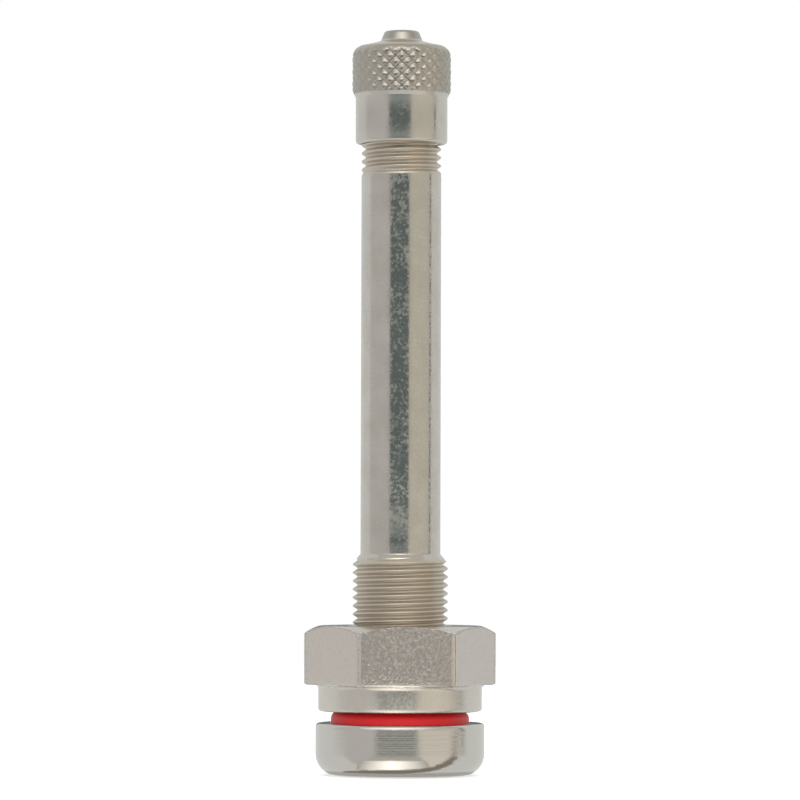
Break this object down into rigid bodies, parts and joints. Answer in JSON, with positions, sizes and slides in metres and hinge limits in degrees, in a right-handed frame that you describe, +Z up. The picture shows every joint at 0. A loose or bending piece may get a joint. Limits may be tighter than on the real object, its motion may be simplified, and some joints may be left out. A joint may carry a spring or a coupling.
{
  "type": "tyre valve",
  "caption": "Straight metal clamp-in tyre valve with a hexagon nut, a red seal ring, a knurled screw cap and a spring-closed core.",
  "frame": {"origin": "middle of the foot's flat underside", "axes": "+Z up the stem towards the cap, -Y towards the viewer of the picture"},
  "size_m": [0.0184, 0.0168, 0.0715],
  "materials": {
    "nickel_stem": "bright nickel plating on turned brass",
    "nickel_nut": "satin nickel plating on turned hexagon bar",
    "nickel_cap": "bright nickel plating, diamond knurl",
    "red_rubber": "moulded red rubber, slightly glossy",
    "black_rubber": "moulded black rubber",
    "plain_brass": "bare turned brass",
    "spring_steel": "drawn spring wire"
  },
  "bodies": {
    "stem": {"valve_stem": "nickel_stem", "rim_seal_ring": "red_rubber", "core_plug": "plain_brass", "core_barrel": "plain_brass", "barrel_gasket": "red_rubber", "core_spring": "spring_steel"},
    "nut": {"clamp_nut": "nickel_nut"},
    "cap_lift_carrier": {"cap_gasket": "black_rubber"},
    "cap": {"valve_cap": "nickel_cap"},
    "pin": {"core_pin": "plain_brass", "valve_cup": "plain_brass", "cup_seal": "black_rubber"}
  },
  "joints": [
    {"name": "nut_travel", "type": "slide", "parent": "stem", "child": "nut", "axis": [0, 0, 1], "range_m": [0, 0.0058]},
    {"name": "cap_lift", "type": "slide", "parent": "stem", "child": "cap_lift_carrier", "axis": [0, 0, 1], "range_m": [0, 0.00794]},
    {"name": "cap_turn", "type": "hinge", "parent": "cap_lift_carrier", "child": "cap", "pos_m": [0, 0, 0.0684], "axis": [0, 0, 1], "range_deg": [0, 3600]},
    {"name": "core_press", "type": "slide", "parent": "stem", "child": "pin", "axis": [0, 0, -1], "range_m": [0, 0.0015], "stiffness_N_per_m": 1000, "springref_m": -0.002, "deforming": ["core_spring"]}
  ],
  "couplings": [
    {"joint": "cap_turn", "follows": "cap_lift", "rad_per_m": 7913.3}
  ]
}
